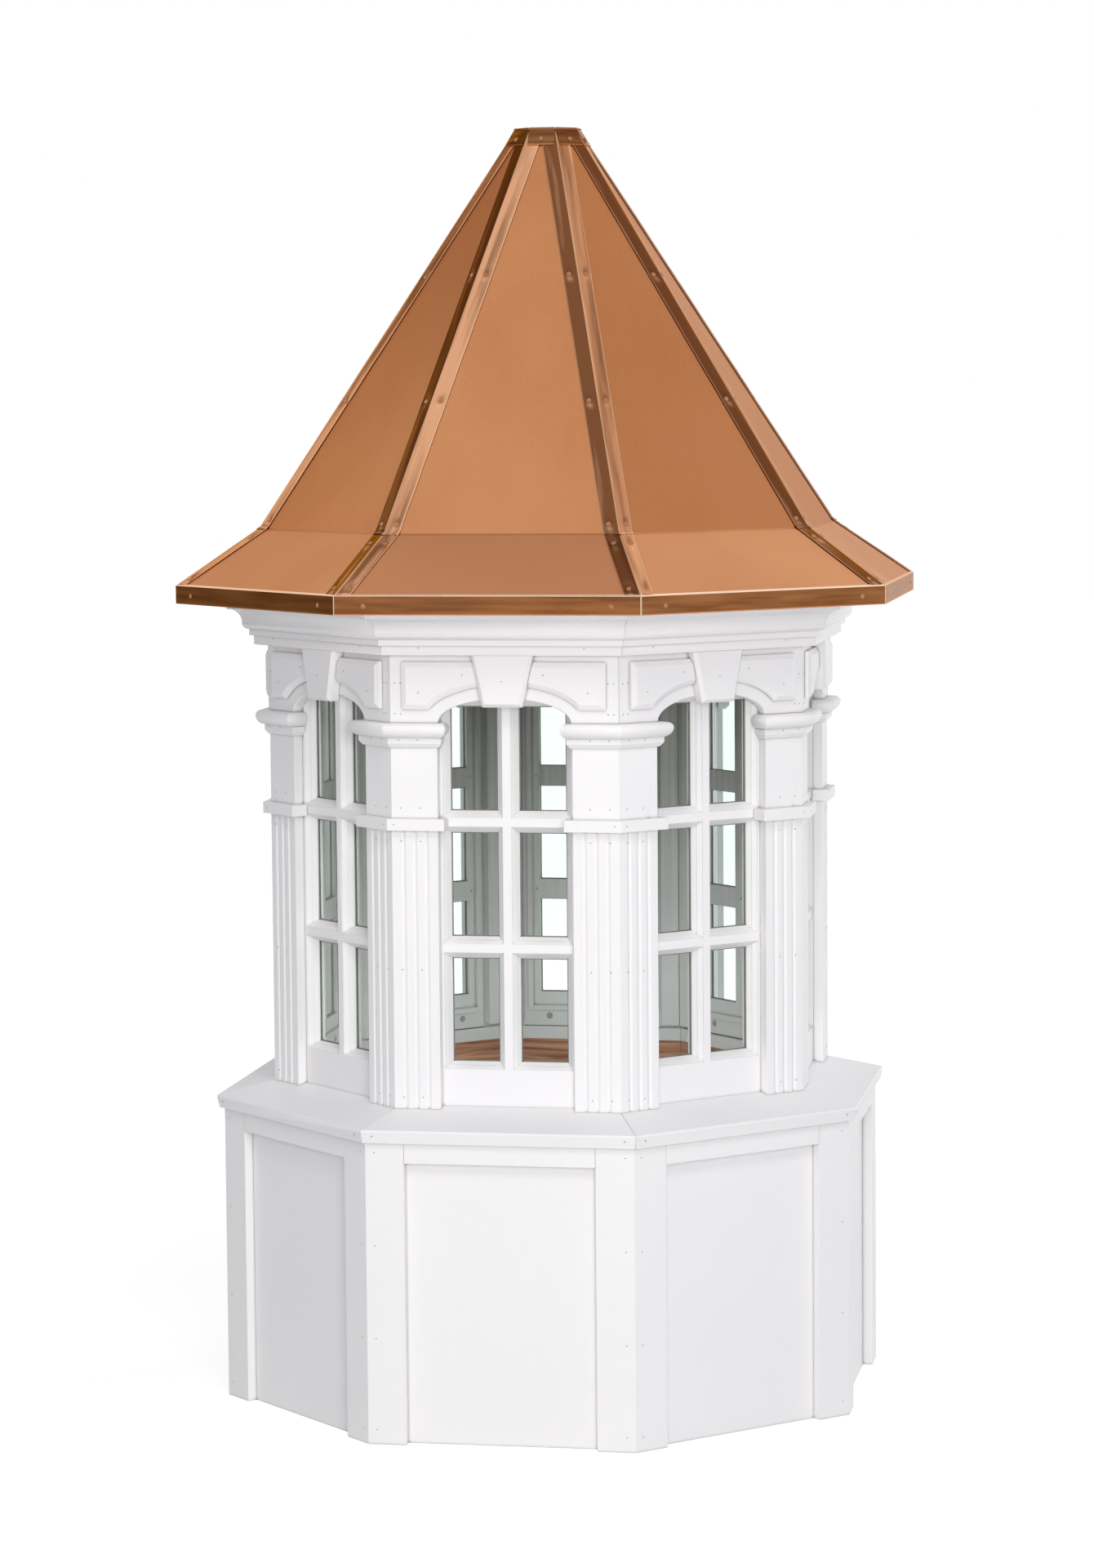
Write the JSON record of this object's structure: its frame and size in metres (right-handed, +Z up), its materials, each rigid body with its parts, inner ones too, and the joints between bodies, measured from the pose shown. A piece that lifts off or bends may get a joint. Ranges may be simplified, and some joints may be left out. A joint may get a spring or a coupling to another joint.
{
  "type": "roof cupola",
  "caption": "Octagonal roof cupola: panelled white base, glazed lantern with fluted columns, arched headers and keystones, and a flared copper roof with a truncated top.",
  "frame": {"origin": "centre of the base's bottom edge, on the axis of the octagon", "axes": "+Z up along the axis, -Y through the front side"},
  "size_m": [1.367, 1.367, 2.4574],
  "materials": {
    "white_pvc": "satin white cellular PVC trim board",
    "curb_lumber": "brown sawn lumber",
    "plywood": "bare plywood deck",
    "window_glass": "clear float glass",
    "copper_sheet": "new sheet copper, satin mill finish",
    "copper_trim": "new sheet copper, folded and glossy"
  },
  "bodies": {
    "root": {"base_wall_front": "white_pvc", "base_wall_front_right": "white_pvc", "base_wall_right": "white_pvc", "base_wall_back_right": "white_pvc", "base_wall_back": "white_pvc", "base_wall_back_left": "white_pvc", "base_wall_left": "white_pvc", "base_wall_front_left": "white_pvc", "base_corner_boards": "white_pvc", "base_top_rails": "white_pvc", "base_cap": "white_pvc", "timber_curb": "curb_lumber", "column_1": "white_pvc", "column_2": "white_pvc", "column_3": "white_pvc", "column_4": "white_pvc", "column_5": "white_pvc", "column_6": "white_pvc", "column_7": "white_pvc", "column_8": "white_pvc", "column_bands": "white_pvc", "column_capitals": "white_pvc", "arch_headers": "white_pvc", "keystones": "white_pvc", "spandrel_panels": "white_pvc", "cornice_fascia": "white_pvc", "cornice_crown": "white_pvc", "soffit": "white_pvc", "window_front": "white_pvc", "window_front_right": "white_pvc", "window_right": "white_pvc", "window_back_right": "white_pvc", "window_back": "white_pvc", "window_back_left": "white_pvc", "window_left": "white_pvc", "window_front_left": "white_pvc", "window_glass": "window_glass", "roof_deck": "plywood", "flare_panels": "copper_sheet", "roof_panels": "copper_sheet", "eave_drip_edge": "copper_trim", "flare_hip_caps": "copper_trim", "hip_caps": "copper_trim", "top_collar": "copper_trim", "top_plate": "copper_trim"}
  },
  "joints": []
}
